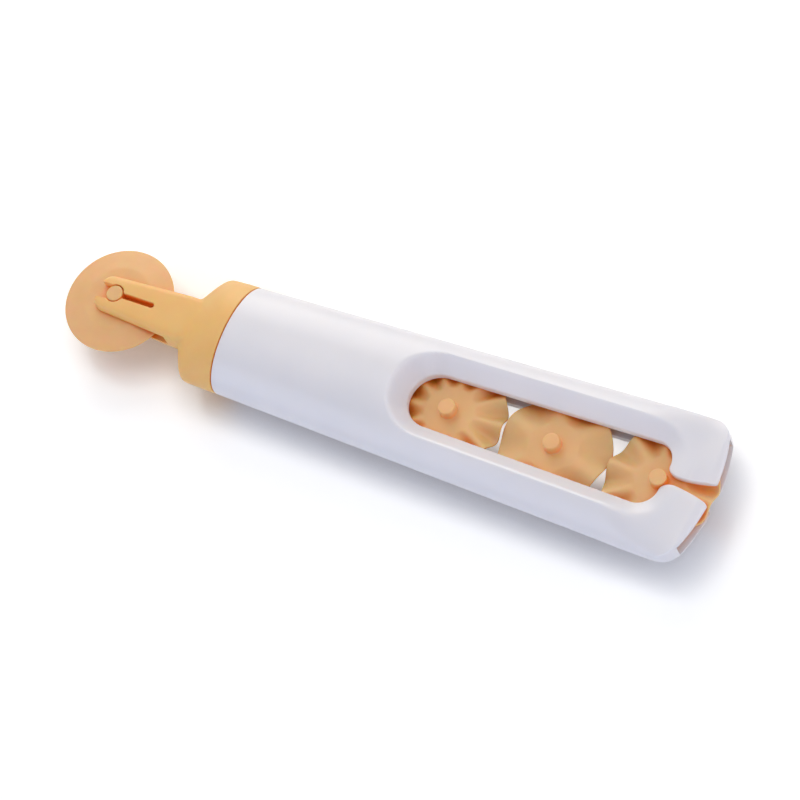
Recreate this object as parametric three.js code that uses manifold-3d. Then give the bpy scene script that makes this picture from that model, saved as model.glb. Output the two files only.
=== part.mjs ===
// Pastry cutter with one plain wheel in a snap fork and three fluted wheels
// that are stored in a track inside the handle and leave through its tail.
// Lengths are in millimetres, angles in degrees, +Z is up. The cutter lies on
// the broad side of its handle, and the origin is under its middle.

import * as THREE from "three";
import { mergeVertices } from "three/addons/utils/BufferGeometryUtils.js";
import Module from "manifold-3d";

const wasm = await Module();
wasm.setup();

// Wheels: all four have the same disc size and the same stub axle.
const wheelRadius = 16.4;
const hubThickness = 3.6;
const axleRadius = 2.5;
const axleLength = 10;
const axleChamfer = 0.45;

// Plain wheel: a flat middle and a long bevel to a thin edge.
const plainFlatRadius = 9.8;
const plainEdgeThickness = 0.5;

// Fluted wheels: waves that start at the flat middle and grow to the rim.
const fluteStartRadius = 7.4;
const fluteRimThickness = 0.8;
const fineWaves = 12;
const mediumWaves = 10;
const coarseWaves = 6;
const finePhase = 3;
const mediumPhase = 176;
const coarsePhase = 343;

// Clearances.
const hubGap = 0.4;
const axleGap = 0.3;
const trackGap = 0.3;
const trackSidePlay = 1;
const wheelSpacingGap = 0.3;
const rowTravel = 9.35;
const seamGap = 0.3;
const tenonGap = 0.3;

// Fork: two flat arms, each with an open seat for the stub axle.
const armTipLength = 5.5;
const armTipWidth = 10.7;
const armWidth = 14.3;
const forkDepth = 19.4;
const seatThroat = 4.4;
const seatMouth = 5.2;
const reliefWidth = 1.6;
const reliefEnd = 13.3;
const tipCornerLength = 3.2;
const tipCornerWidth = 5;

// Collar: the fork swells to the oval of the handle.
const shoulderStart = 22;
const shoulderSideLength = 9.4;
const shoulderFaceLength = 16;
const shoulderFillet = 1.2;
const roundingLength = 4;
const collarWidth = 33.5;
const seamPosition = 40.45;
const collarEdge = 0.3;

// Tenon of the collar and its socket in the handle.
const socketWall = 2.8;
const socketEndWall = 6;
const tenonLeadIn = 1.2;
const socketEndGap = 1;

// Handle: an oval that widens to the tail and thins to flat lips.
const seamWidth = 33.6;
const gripThickness = 23.2;
const tailWidth = 44.1;
const tailLength = 192.35;
const tailEndRadius = 57;
const tailCornerRadius = 8;
const thinningLength = 21;
const lipLength = 6.4;
const lipThickness = 7.8;
const lipEdgeRadius = 2;

// Window over the track, the same in both faces, and its dished surround.
const windowTailWall = 14.45;
const windowStartWidth = 16.3;
const windowEndWidth = 19.7;
const windowEndCorner = 5.9;
const rimHeight = 4.1;
const dishWidth = 4.8;
const dishEndWidth = 4;

// Neck that holds the stub axles back, and its flare to the tail.
const neckWidth = 2.6;
const neckLength = 3.6;
const flareWidth = 6.8;

// Length by which every cutting body runs past what it cuts.
const overrun = 6;

// Points nearer to each other than this are the same point.
const sameSpot = 0.001;

// Shares of sizes that have no unit of their own.
const armFlatShare = 0.95;
const ovalPower = 2;
const armPower = 6;
const lipPower = 3.2;
const tailPower = 12;
const shoulderPower = 1.2;
const dishReachShare = 1.35;
const neckEaseShare = 0.42;

// Counts of facets.
const sectionPoints = 48;
const roundPoints = 32;
const arcSteps = 8;
const endSteps = 10;
const wavePoints = 100;

// Heights and places that follow from the sizes above.
const axleHalf = axleLength / 2;
const armInner = hubThickness / 2 + hubGap;
const trackHalfHeight = hubThickness / 2 + trackGap;
const trackHalfWidth = wheelRadius + trackSidePlay;
const restOffset = trackSidePlay - trackGap;
const wheelSpacing = 2 * wheelRadius + wheelSpacingGap;
const windowEnd = tailLength - windowTailWall;
const lastWheelPlace = windowEnd - axleRadius / 2 - axleGap;
const firstWheelPlace = lastWheelPlace - 2 * wheelSpacing;
const innerStop = firstWheelPlace - rowTravel;
const windowStart = innerStop - axleRadius - axleGap;
const windowLength = windowEnd - windowStart;
const socketEnd = innerStop - trackHalfWidth - socketEndWall;
const neckPlace = windowEnd + neckLength;
const thinningEnd = tailLength - lipLength;
const thinningStart = thinningEnd - thinningLength;

// The smooth step from nought to one between two places.
function ease(value, start, length) {
  const share = Math.min(Math.max((value - start) / length, 0), 1);
  return share * share * (3 - 2 * share);
}

function mix(from, to, share) {
  return from + (to - from) * share;
}

// A closed solid from a geometry, and back.
function toSolid(geometry) {
  const bare = geometry.clone();
  bare.deleteAttribute("normal");
  bare.deleteAttribute("uv");
  const merged = mergeVertices(bare);
  return new wasm.Manifold(
    new wasm.Mesh({
      numProp: 3,
      vertProperties: new Float32Array(merged.attributes.position.array),
      triVerts: new Uint32Array(merged.index.array),
    })
  );
}

function toGeometry(solid) {
  const mesh = solid.getMesh();
  const geometry = new THREE.BufferGeometry();
  const positions = new THREE.BufferAttribute(new Float32Array(mesh.vertProperties), 3);
  geometry.setAttribute("position", positions);
  geometry.setIndex(new THREE.BufferAttribute(new Uint32Array(mesh.triVerts), 1));
  geometry.computeVertexNormals();
  return geometry;
}

// A body lofted through closed rings with the same number of points.
function loftRings(rings) {
  const count = rings[0].length;
  const points = rings.flat();
  const index = [];
  for (let ring = 0; ring + 1 < rings.length; ring++) {
    for (let step = 0; step < count; step++) {
      const next = (step + 1) % count;
      const a = ring * count + step;
      const b = ring * count + next;
      index.push(a, b, b + count, a, b + count, a + count);
    }
  }
  const ends = [rings[0], rings[rings.length - 1]];
  ends.forEach((ring, end) => {
    const middle = new THREE.Vector3();
    ring.forEach((point) => middle.add(point));
    points.push(middle.divideScalar(count));
    const first = end === 0 ? 0 : (rings.length - 1) * count;
    for (let step = 0; step < count; step++) {
      const a = first + step;
      const b = first + ((step + 1) % count);
      index.push(...(end === 0 ? [b, a, points.length - 1] : [a, b, points.length - 1]));
    }
  });
  let volume = 0;
  for (let face = 0; face < index.length; face += 3) {
    const [a, b, c] = index.slice(face, face + 3).map((corner) => points[corner]);
    volume += a.dot(new THREE.Vector3().crossVectors(b, c));
  }
  const geometry = new THREE.BufferGeometry().setFromPoints(points);
  geometry.setIndex(volume < 0 ? index.reverse() : index);
  return toSolid(geometry);
}

// A flat outline raised from one height to another.
function raiseOutline(outline, bottom, top) {
  const shape = new THREE.Shape(outline);
  const options = { depth: top - bottom, bevelEnabled: false, curveSegments: arcSteps };
  return toSolid(new THREE.ExtrudeGeometry(shape, options).translate(0, 0, bottom));
}

// A box by its limits.
function makeBlock(low, high) {
  const size = new THREE.Vector3().subVectors(high, low);
  const middle = new THREE.Vector3().addVectors(low, high).divideScalar(2);
  const geometry = new THREE.BoxGeometry(size.x, size.y, size.z);
  return toSolid(geometry.translate(middle.x, middle.y, middle.z));
}

// Points of an arc in the plane, from one angle to another.
function arcPoints(x, y, radius, from, to, steps) {
  return Array.from({ length: steps + 1 }, (_, step) => {
    const angle = THREE.MathUtils.degToRad(mix(from, to, step / steps));
    return new THREE.Vector2(x + radius * Math.cos(angle), y + radius * Math.sin(angle));
  });
}

// A whole outline from its upper half, whose ends may lie on the middle line.
function mirrorOutline(half) {
  const beside = half.filter((point) => point.y > sameSpot);
  return half.concat(beside.map((point) => new THREE.Vector2(point.x, -point.y)).reverse());
}

// A cross section: a rounded oval whose crown can be cut flat.
function makeSection(x, halfWidth, halfHeight, power, flatShare) {
  const crown = halfHeight / flatShare;
  return Array.from({ length: sectionPoints }, (_, step) => {
    const angle = (2 * Math.PI * step) / sectionPoints;
    const across = Math.cos(angle);
    const upward = Math.sin(angle);
    const y = halfWidth * Math.sign(across) * Math.abs(across) ** (2 / power);
    const z = crown * Math.sign(upward) * Math.abs(upward) ** (2 / power);
    return new THREE.Vector3(x, y, Math.min(Math.max(z, -halfHeight), halfHeight));
  });
}

// Stub axles on both sides of a wheel, with a small chamfer at each end.
function makeAxle() {
  const profile = [
    new THREE.Vector2(0, -axleHalf),
    new THREE.Vector2(axleRadius - axleChamfer, -axleHalf),
    new THREE.Vector2(axleRadius, -axleHalf + axleChamfer),
    new THREE.Vector2(axleRadius, axleHalf - axleChamfer),
    new THREE.Vector2(axleRadius - axleChamfer, axleHalf),
    new THREE.Vector2(0, axleHalf),
  ];
  const geometry = new THREE.LatheGeometry(profile, roundPoints);
  return toSolid(geometry.rotateX(Math.PI / 2));
}

// Plain wheel: one revolved profile with its stub axles.
function makePlainWheel() {
  const profile = [
    new THREE.Vector2(0, -hubThickness / 2),
    new THREE.Vector2(plainFlatRadius, -hubThickness / 2),
    new THREE.Vector2(wheelRadius, -plainEdgeThickness / 2),
    new THREE.Vector2(wheelRadius, plainEdgeThickness / 2),
    new THREE.Vector2(plainFlatRadius, hubThickness / 2),
    new THREE.Vector2(0, hubThickness / 2),
  ];
  const disc = new THREE.LatheGeometry(profile, wavePoints);
  return toGeometry(toSolid(disc.rotateX(Math.PI / 2)).add(makeAxle()));
}

// Fluted wheel: the sheet thins from the hub to the rim while it waves, so
// the crests stay level with the flat middle and the hollows deepen outward.
function makeFlutedWheel(waves, phase) {
  const bandShares = [0, 0.3, 0.62, 1];
  const points = Math.round(wavePoints / waves) * waves;
  const ring = (share, side) => {
    const radius = mix(fluteStartRadius, wheelRadius, share);
    const half = mix(hubThickness, fluteRimThickness, share) / 2;
    const wave = hubThickness / 2 - half;
    return Array.from({ length: points }, (_, step) => {
      const angle = (2 * Math.PI * step) / points;
      const turn = angle - THREE.MathUtils.degToRad(phase);
      const height = wave * Math.cos(waves * turn) + side * half;
      return new THREE.Vector3(radius * Math.cos(angle), radius * Math.sin(angle), height);
    });
  };
  const upward = bandShares.map((share) => ring(share, 1));
  const downward = bandShares.map((share) => ring(share, -1)).reverse();
  return toGeometry(loftRings([...upward, ...downward]).add(makeAxle()));
}

// Half width of the arms, which widen to the shoulder.
function armHalfWidth(x) {
  return mix(armTipWidth, armWidth, (x + armTipLength) / (shoulderStart + armTipLength)) / 2;
}

// Half width and half height of the collar, which starts within the arms.
function collarHalfWidth(x) {
  const share = Math.min(Math.max((x - shoulderStart) / shoulderSideLength, 0), 1);
  const swell = ease(1 - (1 - share) ** shoulderPower, 0, 1);
  return mix(armWidth / 2 - shoulderFillet, collarWidth / 2, swell);
}

function collarHalfHeight(x) {
  const swell = ease(x, shoulderStart, shoulderFaceLength);
  return mix(axleHalf - shoulderFillet, gripThickness / 2, swell);
}

// The rounded tip of the arms, as pairs of length and width left to the tip.
function tipSections() {
  return arcPoints(0, 0, 1, 0, 90, arcSteps / 2).map((corner) => {
    const x = -armTipLength + tipCornerLength * (1 - corner.x);
    const side = armHalfWidth(x) - (tipCornerWidth / 2) * (1 - corner.y);
    return makeSection(x, side, axleHalf, armPower, armFlatShare);
  });
}

// A cross section of the shoulder: the flat plate of the arms and the oval of
// the collar, whichever reaches further, with a soft hollow between them.
function makeShoulderSection(x) {
  const rounding = ease(x, shoulderStart, roundingLength);
  const power = mix(armPower, ovalPower, rounding);
  const flat = mix(armFlatShare, 1, rounding);
  const wide = collarHalfWidth(x);
  const high = collarHalfHeight(x);
  const armWide = armWidth / 2;
  const guide = makeSection(x, Math.max(wide, armWide), Math.max(high, axleHalf), power, flat);
  return guide.map((point) => {
    const across = Math.abs(point.y) / Math.hypot(point.y, point.z);
    const upward = Math.abs(point.z) / Math.hypot(point.y, point.z);
    const side = (across / armWide) ** armPower;
    const crown = ((upward * armFlatShare) / axleHalf) ** armPower;
    const plate = Math.min((side + crown) ** (-1 / armPower), axleHalf / upward);
    const oval = 1 / Math.hypot(across / wide, upward / high);
    const lead = (oval - plate) / shoulderFillet;
    const share = Math.min(Math.max((1 + lead) / 2, 0), 1);
    const reach = mix(plate, oval, share) + shoulderFillet * share * (1 - share);
    const y = Math.sign(point.y) * across * reach;
    return new THREE.Vector3(x, y, Math.sign(point.z) * upward * reach);
  });
}

// Fork and collar: one moulding, cut for the wheel, the seats and the reliefs.
function makeFork() {
  const rings = tipSections();
  const collarEnd = seamPosition - seamGap / 2;
  const shoulderSteps = arcSteps * 2;
  for (let step = 0; step <= shoulderSteps; step++) {
    const x = shoulderStart + (shoulderFaceLength * step) / shoulderSteps;
    rings.push(makeShoulderSection(x));
  }
  const edge = collarEnd - collarEdge;
  rings.push(makeSection(edge, seamWidth / 2, gripThickness / 2, ovalPower, 1));
  const edgeWidth = seamWidth / 2 - collarEdge;
  const edgeHeight = gripThickness / 2 - collarEdge;
  rings.push(makeSection(collarEnd, edgeWidth, edgeHeight, ovalPower, 1));
  let fork = loftRings(rings).add(makeTenon());

  // The space that the wheel turns in, between the two arms.
  const low = new THREE.Vector3(-armTipLength - overrun, -collarWidth, -armInner);
  const high = new THREE.Vector3(forkDepth, collarWidth, armInner);
  fork = fork.subtract(makeBlock(low, high));

  // One cut through both arms: mouth, throat, round seat and relief.
  const seatRadius = axleRadius + axleGap;
  const throatAngle = THREE.MathUtils.radToDeg(Math.asin(seatThroat / 2 / seatRadius));
  const reliefAngle = THREE.MathUtils.radToDeg(Math.asin(reliefWidth / 2 / seatRadius));
  const reliefHalf = reliefWidth / 2;
  const seat = mirrorOutline([
    new THREE.Vector2(-armTipLength - overrun, seatMouth / 2),
    new THREE.Vector2(-armTipLength, seatMouth / 2),
    ...arcPoints(0, 0, seatRadius, 180 - throatAngle, reliefAngle, arcSteps),
    ...arcPoints(reliefEnd - reliefHalf, 0, reliefHalf, 90, 0, arcSteps / 2),
  ]);
  return toGeometry(fork.subtract(raiseOutline(seat, -axleHalf - overrun, axleHalf + overrun)));
}

// Tenon of the collar, with a lead in at its end.
function makeTenon() {
  const side = seamWidth / 2 - socketWall - tenonGap;
  const face = gripThickness / 2 - socketWall - tenonGap;
  const start = seamPosition - overrun;
  const end = socketEnd - socketEndGap;
  return loftRings([
    makeSection(start, side, face, ovalPower, 1),
    makeSection(end - tenonLeadIn, side, face, ovalPower, 1),
    makeSection(end, side - tenonLeadIn, face - tenonLeadIn, ovalPower, 1),
  ]);
}

// Centre of the rounded corner between the side and the bowed tail end.
const tailBowCentre = tailLength - tailEndRadius;
const cornerReach = tailEndRadius - tailCornerRadius;
const cornerSide = tailWidth / 2 - tailCornerRadius;
const cornerPlace = tailBowCentre + Math.sqrt(cornerReach ** 2 - cornerSide ** 2);
const cornerAngle = Math.atan2(cornerSide, cornerPlace - tailBowCentre);

// Half width between the straight sides of the handle.
function handleSide(x) {
  const share = (x - seamPosition) / (cornerPlace - seamPosition);
  return mix(seamWidth, tailWidth, Math.min(share, 1)) / 2;
}

// Half width of the handle along the middle line.
function handleHalfWidth(x) {
  if (x <= cornerPlace) {
    return handleSide(x);
  }
  const cornerEnd = cornerPlace + tailCornerRadius * Math.cos(cornerAngle);
  if (x <= cornerEnd) {
    return cornerSide + Math.sqrt(tailCornerRadius ** 2 - (x - cornerPlace) ** 2);
  }
  return Math.sqrt(Math.max(tailEndRadius ** 2 - (x - tailBowCentre) ** 2, 0));
}

// Half height of the crown, which falls to the lips.
function handleHalfHeight(x) {
  return mix(gripThickness, lipThickness, ease(x, thinningStart, thinningLength)) / 2;
}

function handlePower(x) {
  return mix(ovalPower, lipPower, ease(x, thinningStart, thinningLength));
}

// Distance from a place in the plan to the rounded outline of the tail.
function tailInset(x, y) {
  const along = x - cornerPlace;
  const beside = Math.abs(y) - cornerSide;
  if (along > 0 && Math.atan2(beside, along) > cornerAngle) {
    return tailCornerRadius - Math.hypot(along, beside);
  }
  return tailEndRadius - Math.hypot(x - tailBowCentre, y);
}

// Height of the outer surface of the handle above a place in the plan. The
// edge of the lips is round all along the outline of the tail.
function handleSurface(x, y) {
  const power = handlePower(x);
  const side = Math.min(Math.abs(y) / handleSide(x), 1);
  const crown = handleHalfHeight(x) * (1 - side ** power) ** (1 / power);
  const inset = Math.max(tailInset(x, y), 0);
  if (x <= cornerPlace || inset >= lipEdgeRadius) {
    return crown;
  }
  const past = 1 - inset / lipEdgeRadius;
  return Math.min(crown, mix(trackHalfHeight, lipThickness / 2, Math.sqrt(1 - past ** 2)));
}

// A cross section of the handle, squarer beyond the corners of the tail.
function makeHandleSection(x) {
  const power = mix(handlePower(x), tailPower, ease(x, cornerPlace, tailCornerRadius / 2));
  return makeSection(x, handleHalfWidth(x), handleHalfHeight(x), power, 1).map((point) => {
    const top = x > cornerPlace ? handleSurface(x, point.y) : gripThickness;
    return new THREE.Vector3(x, point.y, Math.min(Math.max(point.z, -top), top));
  });
}

// Half width of the window, measured from the middle line.
function windowHalfWidth(x) {
  return mix(windowStartWidth, windowEndWidth, (x - windowStart) / windowLength) / 2;
}

// Upper half of the window outline, from its round start to its far corner.
function windowHalf() {
  const radius = windowHalfWidth(windowStart + windowStartWidth / 2);
  const corner = windowEnd - windowEndCorner;
  const cornerY = windowHalfWidth(corner) - windowEndCorner;
  return [
    ...arcPoints(windowStart + radius, 0, radius, 180, 90, arcSteps),
    ...arcPoints(corner, cornerY, windowEndCorner, 90, 0, arcSteps),
  ];
}

// Upper half of the lip edge: round the corner, through the neck, then flared.
function neckHalf() {
  const start = windowHalf().pop();
  const neck = new THREE.Vector2(neckPlace, neckWidth / 2);
  const round = new THREE.CubicBezierCurve(
    start,
    new THREE.Vector2(windowEnd, mix(start.y, neck.y, 1 - neckEaseShare)),
    new THREE.Vector2(mix(windowEnd, neckPlace, neckEaseShare), neck.y),
    neck
  );
  const end = new THREE.Vector2(tailLength, flareWidth / 2);
  const middle = new THREE.Vector2(mix(neckPlace, tailLength, neckEaseShare), neck.y);
  const flare = new THREE.QuadraticBezierCurve(neck, middle, end);
  const past = new THREE.Vector2(tailLength + overrun, flareWidth / 2);
  return [...round.getPoints(arcSteps).slice(1), ...flare.getPoints(arcSteps).slice(1), past];
}

// Dished surround of the window: a ruled surface from the window's rim to an
// edge on the handle's outer surface, carried on past it to cut cleanly.
function makeDish() {
  const rim = mirrorOutline(windowHalf());
  const centre = (windowStart + windowEnd) / 2;
  const floor = rim.map((point) => new THREE.Vector3(point.x, point.y, rimHeight));
  const outer = rim.map((point, place) => {
    const before = rim[(place + rim.length - 1) % rim.length];
    const after = rim[(place + 1) % rim.length];
    const along = new THREE.Vector2().subVectors(after, before).normalize();
    const outward = new THREE.Vector2(-along.y, along.x);
    const endward = point.x < centre ? Math.max(-outward.x, 0) : 0;
    const reach = mix(dishWidth, dishEndWidth, endward);
    const edge = point.clone().addScaledVector(outward, reach);
    const height = Math.max(handleSurface(edge.x, edge.y), rimHeight);
    return new THREE.Vector3(edge.x, edge.y, height);
  });
  const past = outer.map((point, place) => floor[place].clone().lerp(point, dishReachShare));
  const top = past.map((point) => new THREE.Vector3(point.x, point.y, gripThickness));
  return loftRings([floor, past, top]);
}

// Stations along the handle: close together where the form changes.
function handleStations() {
  const start = seamPosition + seamGap / 2;
  const body = Array.from({ length: arcSteps }, (_, step) =>
    mix(start + collarEdge, thinningStart, step / arcSteps)
  );
  const thinning = Array.from({ length: endSteps }, (_, step) =>
    mix(thinningStart, cornerPlace, step / endSteps)
  );
  const corner = Array.from({ length: endSteps }, (_, step) => {
    const angle = mix(Math.PI / 2, cornerAngle, step / endSteps);
    return cornerPlace + tailCornerRadius * Math.cos(angle);
  });
  const end = Array.from({ length: endSteps }, (_, step) => {
    const angle = mix(cornerAngle, 0, step / endSteps);
    return tailBowCentre + tailEndRadius * Math.cos(angle);
  });
  return [...body, ...thinning, ...corner, ...end];
}

// Handle: one moulding with the track, both windows, the neck and the socket.
function makeHandle() {
  const start = seamPosition + seamGap / 2;
  const edgeWidth = seamWidth / 2 - collarEdge;
  const edgeHeight = gripThickness / 2 - collarEdge;
  const rings = [makeSection(start, edgeWidth, edgeHeight, ovalPower, 1)];
  handleStations().forEach((x) => {
    rings.push(makeHandleSection(x));
  });
  let handle = loftRings(rings);

  // The track that the stored wheels lie and slide in, open at the tail.
  const trackRound = arcPoints(innerStop, 0, trackHalfWidth, 180, 90, arcSteps * 2);
  const trackEnd = new THREE.Vector2(tailLength + overrun, trackHalfWidth);
  const track = mirrorOutline([...trackRound, trackEnd]);
  handle = handle.subtract(raiseOutline(track, -trackHalfHeight, trackHalfHeight));

  // The window and the neck, through both faces.
  const opening = mirrorOutline([...windowHalf(), ...neckHalf()]);
  handle = handle.subtract(raiseOutline(opening, -gripThickness, gripThickness));

  // The dished surround, on both faces.
  const dish = makeDish();
  handle = handle.subtract(dish).subtract(dish.mirror([0, 0, 1]));

  // The socket for the tenon of the collar.
  const side = seamWidth / 2 - socketWall;
  const face = gripThickness / 2 - socketWall;
  const socket = loftRings([
    makeSection(seamPosition - overrun, side, face, ovalPower, 1),
    makeSection(socketEnd, side, face, ovalPower, 1),
  ]);
  return toGeometry(handle.subtract(socket));
}

// Materials as the pieces look.
const whitePlastic = { color: "#e4e3ea", roughness: 0.28, metalness: 0 };
const honeyPlastic = { color: "#dfa961", roughness: 0.45, metalness: 0 };
const sandPlastic = { color: "#e0ac74", roughness: 0.5, metalness: 0 };

const cutter = new THREE.Group();

function addPiece(name, geometry, look, x, y) {
  const piece = new THREE.Mesh(geometry, new THREE.MeshStandardMaterial(look));
  piece.name = name;
  piece.position.set(x, y, 0);
  cutter.add(piece);
}

addPiece("handle", makeHandle(), whitePlastic, 0, 0);
addPiece("fork_collar", makeFork(), honeyPlastic, 0, 0);
addPiece("plain_wheel", makePlainWheel(), sandPlastic, 0, 0);
const fineWheel = makeFlutedWheel(fineWaves, finePhase);
addPiece("fine_wave_wheel", fineWheel, sandPlastic, firstWheelPlace, -restOffset);
const coarseWheel = makeFlutedWheel(coarseWaves, coarsePhase);
const coarsePlace = firstWheelPlace + wheelSpacing;
addPiece("coarse_wave_wheel", coarseWheel, sandPlastic, coarsePlace, -restOffset);
const mediumWheel = makeFlutedWheel(mediumWaves, mediumPhase);
addPiece("medium_wave_wheel", mediumWheel, sandPlastic, lastWheelPlace, -restOffset);

// The origin lies under the middle of the whole cutter.
const extent = new THREE.Box3().setFromObject(cutter);
cutter.position.set(-(extent.min.x + extent.max.x) / 2, 0, -extent.min.z);

export default cutter;
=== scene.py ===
import math

import bmesh
import bpy
import numpy as np
from mathutils import Matrix, Vector


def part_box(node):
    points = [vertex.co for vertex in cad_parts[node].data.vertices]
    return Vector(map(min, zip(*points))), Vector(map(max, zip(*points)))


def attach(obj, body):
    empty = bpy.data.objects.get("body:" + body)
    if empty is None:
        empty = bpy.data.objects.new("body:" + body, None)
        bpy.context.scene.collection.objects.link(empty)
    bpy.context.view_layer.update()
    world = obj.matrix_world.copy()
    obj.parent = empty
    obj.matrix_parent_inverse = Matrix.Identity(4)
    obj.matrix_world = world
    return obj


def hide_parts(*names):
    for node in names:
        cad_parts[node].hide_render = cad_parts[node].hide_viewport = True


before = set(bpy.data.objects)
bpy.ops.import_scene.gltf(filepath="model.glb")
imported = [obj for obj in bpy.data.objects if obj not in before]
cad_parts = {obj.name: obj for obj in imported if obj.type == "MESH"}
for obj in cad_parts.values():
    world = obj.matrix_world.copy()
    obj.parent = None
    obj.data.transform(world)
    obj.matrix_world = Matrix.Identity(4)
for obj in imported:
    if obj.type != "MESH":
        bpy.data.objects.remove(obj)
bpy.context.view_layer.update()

# Handle: one injection moulding in white ABS. An oval grip that widens and
# thins to flat lips, with a track for the spare wheels, a window with a
# dished surround in both faces, and a socket for the fork's tenon.

# All sizes are in millimetres, and places along the cutter are measured from
# the plain wheel's axle.
MM = 0.001
SEAM_X = 40.45
SEAM_GAP = 0.3
SEAM_ROUND = 0.3
SEAM_HALF_WIDTH = 16.8
GRIP_HALF_HEIGHT = 11.6
GRIP_POWER = 2.0
TAIL_X = 192.35
TAIL_HALF_WIDTH = 22.05
TAIL_END_RADIUS = 57.0
TAIL_CORNER_RADIUS = 8.0
LIP_HALF_HEIGHT = 3.9
LIP_EDGE_RADIUS = 3.2
LIP_LENGTH = 6.4
LIP_POWER = 3.2
TAIL_POWER = 12.0
TAIL_SQUARING = 4.0
THINNING_LENGTH = 21.0
THINNING_START = TAIL_X - LIP_LENGTH - THINNING_LENGTH
TRACK_HALF_HEIGHT = 2.1
TRACK_HALF_WIDTH = 17.4
TRACK_ROUND_X = 100.8
WINDOW_START = 98.0
WINDOW_END = 177.9
WINDOW_HALF_WIDTHS = (8.15, 9.85)
WINDOW_CORNER = 5.9
RIM_HEIGHT = 4.1
RIM_ROUND = 0.45
DISH_WIDTH = 4.8
DISH_END_WIDTH = 4.0
DISH_BLEND = 0.8
DISH_MARGIN = 8
DISH_ZONE_START = WINDOW_START - 12
DISH_ZONE_HALF_WIDTH = 20
NECK_X = 181.5
NECK_HALF_WIDTH = 1.3
FLARE_HALF_WIDTH = 3.2
LIP_CORNER = 0.9
SOCKET_WALL = 2.8
SOCKET_MOUTH = 0.4
SOCKET_END = 77.4
CUT_OVERRUN = 5
OPENING_REACH = 14.0
CURVE_SHARE = 0.42
FINE_STEP = 0.5
OPENING_STEP = 0.6

wheel_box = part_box("plain_wheel")
axle_centre = (Vector(wheel_box[0]) + Vector(wheel_box[1])) / 2
PLACE = Matrix.Translation(axle_centre) @ Matrix.Scale(MM, 4)


def linear(code):
    """The linear colour of an sRGB hex value, with alpha."""
    parts = [int(code[i : i + 2], 16) / 255 for i in (1, 3, 5)]
    return [c / 12.92 if c <= 0.04045 else ((c + 0.055) / 1.055) ** 2.4 for c in parts] + [1.0]


def add_node(tree, kind, settings=(), inputs=()):
    """A node with its settings, and its inputs as values or as links."""
    node = tree.nodes.new(kind)
    for key, value in dict(settings).items():
        setattr(node, key, value)
    for key, value in dict(inputs).items():
        if isinstance(value, bpy.types.NodeSocket):
            tree.links.new(value, node.inputs[key])
        else:
            node.inputs[key].default_value = value
    return node


def ease(value, start, length):
    """0 before the start, 1 past the length, and a soft rise between."""
    share = np.clip((np.asarray(value, float) - start) / length, 0, 1)
    return share * share * (3 - 2 * share)


def mix(a, b, share):
    return a + (b - a) * share


def section(x, half_width, half_height, power, count):
    """Points round an oval across the cutter: an ellipse at power 2, squarer above."""
    angle = np.linspace(0, 2 * np.pi, count, endpoint=False)
    c, s = np.cos(angle), np.sin(angle)
    y = half_width * np.sign(c) * np.abs(c) ** (2 / power)
    z = half_height * np.sign(s) * np.abs(s) ** (2 / power)
    return np.column_stack([np.full(count, x), y, z])


def mesh_of_rings(name, rings):
    """A closed mesh through rings of points in millimetres from the axle."""
    rings = np.asarray(rings)
    steps, count = rings.shape[:2]
    ends = [rings[0].mean(0), rings[-1].mean(0)]
    points = np.vstack([rings.reshape(-1, 3), ends])
    here = np.arange(count)
    after = (here + 1) % count
    faces = []
    for ring in range(steps - 1):
        a, b = ring * count + here, ring * count + after
        faces += np.column_stack([a, b, b + count, a + count]).tolist()
    last = (steps - 1) * count
    faces += np.column_stack([after, here, np.full(count, steps * count)]).tolist()
    faces += np.column_stack([last + here, last + after, np.full(count, steps * count + 1)]).tolist()
    mesh = bpy.data.meshes.new(name)
    mesh.from_pydata(points.tolist(), [], faces)
    tidy_mesh(mesh)
    return mesh


def tidy_mesh(mesh, weld=1e-5):
    """Welds doubles and turns every face outwards."""
    work = bmesh.new()
    work.from_mesh(mesh)
    bmesh.ops.remove_doubles(work, verts=work.verts, dist=weld)
    bmesh.ops.dissolve_degenerate(work, edges=work.edges, dist=weld)
    bmesh.ops.recalc_face_normals(work, faces=work.faces)
    work.to_mesh(mesh)
    work.free()


def cut(mesh, *cutters):
    """The mesh less the cutters."""
    body = bpy.data.objects.new("work_body", mesh)
    bpy.context.scene.collection.objects.link(body)
    tools = []
    for cutter in cutters:
        tool = bpy.data.objects.new("work_cutter", cutter)
        bpy.context.scene.collection.objects.link(tool)
        tools.append(tool)
        step = body.modifiers.new("cut", "BOOLEAN")
        step.operation = "DIFFERENCE"
        step.solver = "MANIFOLD"
        step.object = tool
    depsgraph = bpy.context.evaluated_depsgraph_get()
    result = bpy.data.meshes.new_from_object(body.evaluated_get(depsgraph))
    for made in [body, *tools]:
        bpy.data.objects.remove(made)
    return result


def add_piece(name, mesh, material, node, body, sharp=math.radians(32)):
    """A finished piece in place of its CAD node: smooth, painted and riding its body."""
    mesh.name = name
    mesh.materials.clear()
    mesh.materials.append(material)
    mesh.shade_smooth()
    mesh.set_sharp_from_angle(angle=sharp)
    piece = bpy.data.objects.new(name, mesh)
    bpy.context.scene.collection.objects.link(piece)
    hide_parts(node)
    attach(piece, body)
    return piece


tail_centre = TAIL_X - TAIL_END_RADIUS
corner_side = TAIL_HALF_WIDTH - TAIL_CORNER_RADIUS
corner_x = tail_centre + math.sqrt((TAIL_END_RADIUS - TAIL_CORNER_RADIUS) ** 2 - corner_side**2)
corner_angle = math.atan2(corner_side, corner_x - tail_centre)
corner_end = corner_x + TAIL_CORNER_RADIUS * math.cos(corner_angle)


def handle_side(x):
    share = np.minimum((np.asarray(x, float) - SEAM_X) / (corner_x - SEAM_X), 1)
    return mix(SEAM_HALF_WIDTH, TAIL_HALF_WIDTH, share)


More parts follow.
